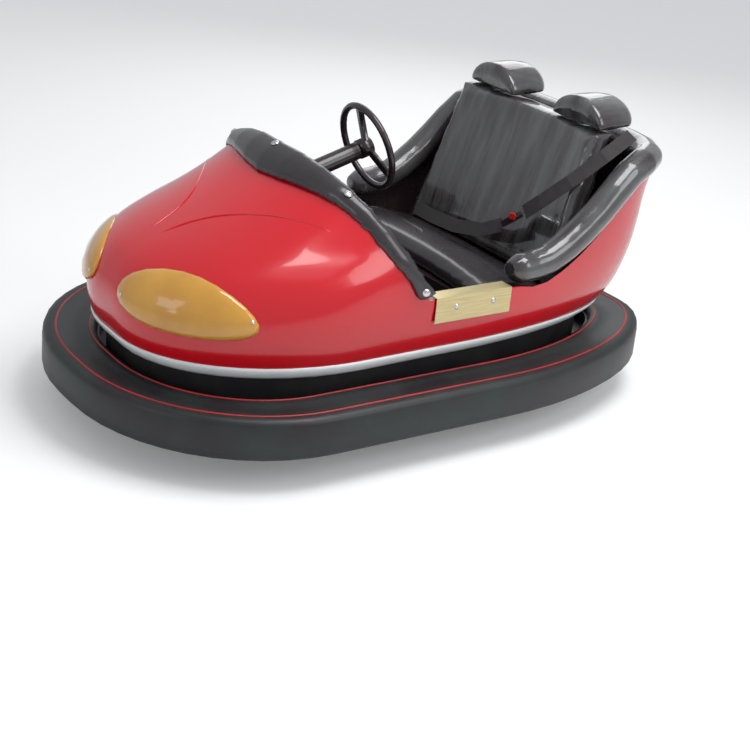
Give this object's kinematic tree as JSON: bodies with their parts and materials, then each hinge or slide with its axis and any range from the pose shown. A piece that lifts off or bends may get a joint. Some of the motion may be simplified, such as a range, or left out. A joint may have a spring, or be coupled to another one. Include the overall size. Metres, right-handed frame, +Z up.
{
  "type": "bumper car",
  "caption": "Two-seat fairground bumper car: bullet-nosed shell on a rubber bumper ring, open cockpit with bench seat, steering wheel and a steered drive wheel.",
  "frame": {"origin": "centre of the footprint on the floor, under the car", "axes": "+Z up, the nose points to -Y, and the car's left side is +X"},
  "size_m": [1.25, 1.95, 0.9496],
  "materials": {
    "red_gelcoat": "glossy red moulded shell",
    "white_gelcoat": "glossy white band",
    "bumper_rubber": "matt black rubber with a grey-green sheen",
    "black_vinyl": "black vinyl, lightly glossy",
    "amber_lens": "amber moulded lens",
    "black_steel": "black painted steel",
    "bare_aluminium": "satin pale gold aluminium",
    "bright_steel": "bright machined steel",
    "black_plastic": "black moulded plastic",
    "belt_webbing": "black woven webbing",
    "tyre_rubber": "solid black tyre"
  },
  "bodies": {
    "car_body": {"bumper_ring": "bumper_rubber", "bumper_band": "black_steel", "chassis_frame": "black_steel", "floor_plate": "black_steel", "body_skirt": "black_steel", "rear_axle": "bright_steel", "axle_hanger_left": "black_steel", "axle_hanger_right": "black_steel", "drive_turret": "black_plastic", "steering_gearbox": "black_steel", "body_shell": "red_gelcoat", "rim_trim": "white_gelcoat", "headlight_left": "amber_lens", "headlight_right": "amber_lens", "cowl_pad": "black_vinyl", "dash_panel": "black_plastic", "steering_column": "black_plastic", "side_liner_left": "black_plastic", "side_liner_right": "black_plastic", "sill_plate_left": "bare_aluminium", "sill_plate_right": "bare_aluminium", "seat_base": "black_plastic", "battery_pack": "black_plastic", "accelerator_pedal": "black_steel", "seat_roll_left": "black_vinyl", "seat_roll_right": "black_vinyl", "seat_cushion": "black_vinyl", "seat_back": "black_vinyl", "headrest_left": "black_vinyl", "headrest_right": "black_vinyl", "shoulder_strap": "belt_webbing", "lap_strap": "belt_webbing", "belt_buckle": "black_plastic", "belt_tongue": "bright_steel"},
    "drive_unit": {"drive_fork": "black_steel", "drive_motor": "black_steel", "drive_axle": "bright_steel"},
    "drive_wheel": {"drive_tyre": "tyre_rubber", "drive_hub": "bright_steel"},
    "rear_wheel_left": {"rear_tyre_left": "tyre_rubber", "rear_hub_left": "bright_steel"},
    "rear_wheel_right": {"rear_tyre_right": "tyre_rubber", "rear_hub_right": "bright_steel"},
    "steering_wheel_unit": {"steering_wheel": "black_plastic", "steering_shaft": "bright_steel"}
  },
  "joints": [
    {"name": "drive_unit_steer", "type": "hinge", "parent": "car_body", "child": "drive_unit", "pos_m": [0, -0.36, 0.3], "axis": [0, 0, 1], "continuous": true},
    {"name": "drive_wheel_roll", "type": "hinge", "parent": "drive_unit", "child": "drive_wheel", "pos_m": [0, -0.36, 0.125], "axis": [1, 0, 0], "continuous": true},
    {"name": "rear_wheel_left_roll", "type": "hinge", "parent": "car_body", "child": "rear_wheel_left", "pos_m": [0.325, 0.42, 0.1], "axis": [1, 0, 0], "continuous": true},
    {"name": "rear_wheel_right_roll", "type": "hinge", "parent": "car_body", "child": "rear_wheel_right", "pos_m": [-0.325, 0.42, 0.1], "axis": [1, 0, 0], "continuous": true},
    {"name": "steering_wheel_turn", "type": "hinge", "parent": "car_body", "child": "steering_wheel_unit", "pos_m": [0, 0.014, 0.78], "axis": [0, 0.9563, 0.2924], "continuous": true}
  ],
  "couplings": [
    {"joint": "steering_wheel_turn", "follows": "drive_unit_steer", "ratio": 2}
  ]
}
